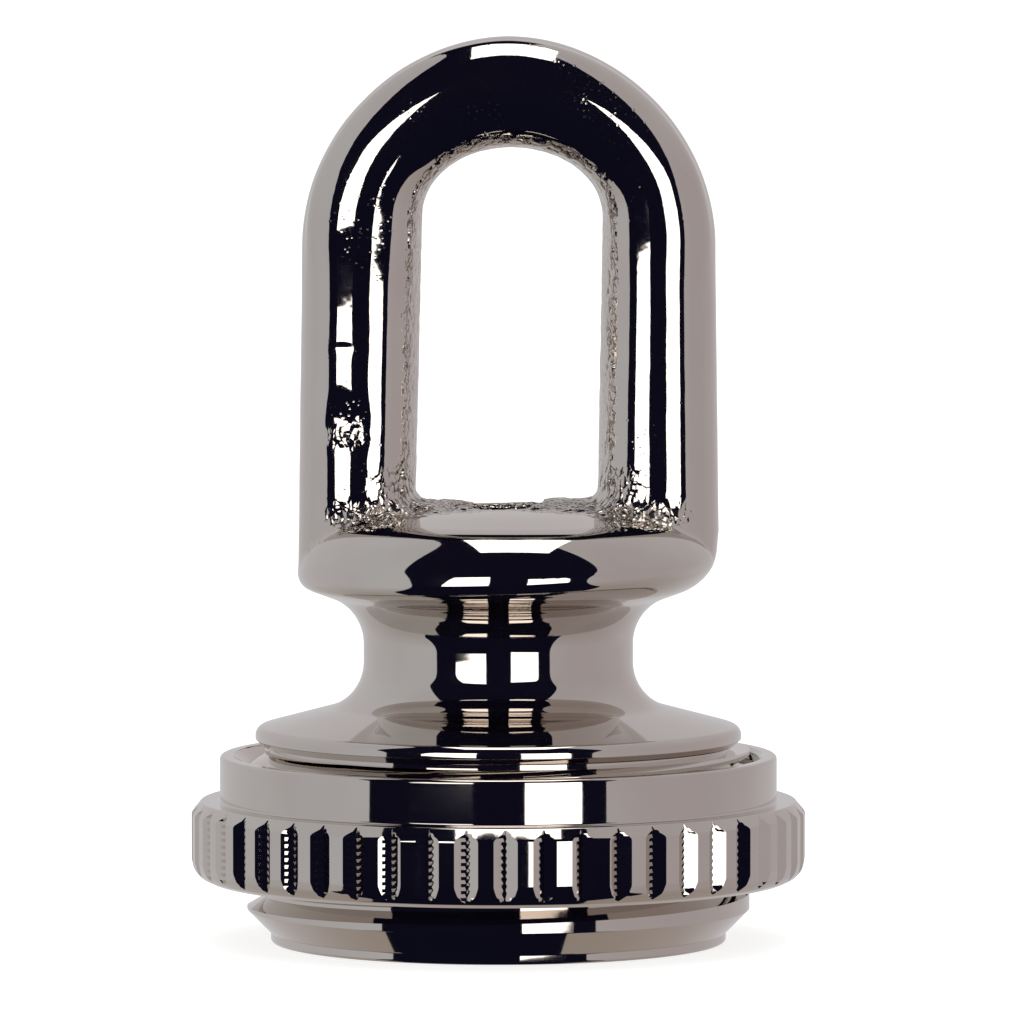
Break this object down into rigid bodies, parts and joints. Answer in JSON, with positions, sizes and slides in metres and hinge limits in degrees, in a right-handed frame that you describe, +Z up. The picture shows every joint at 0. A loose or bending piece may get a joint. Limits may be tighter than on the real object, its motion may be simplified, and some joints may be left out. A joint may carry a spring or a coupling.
{
  "type": "screw collar loop",
  "caption": "Polished nickel-plated cast loop on a turned threaded boss, with a knurled collar ring that screws up and down the boss to clamp a ceiling canopy.",
  "frame": {"origin": "centre of the boss's flat lower end, on the thread's axis", "axes": "+Z up the thread's axis towards the loop; +X across the loop's flat way, from leg to leg; -Y is the side that the picture shows"},
  "size_m": [0.0324, 0.0324, 0.0477],
  "materials": {
    "polished_nickel": "polished nickel plate on cast and turned brass"
  },
  "bodies": {
    "loop_body": {"loop_casting": "polished_nickel"},
    "ring_body": {"collar_ring": "polished_nickel"}
  },
  "joints": [
    {"name": "collar_travel", "type": "slide", "parent": "loop_body", "child": "ring_body", "axis": [0, 0, 1], "range_m": [-0.007, 0.0005]}
  ]
}
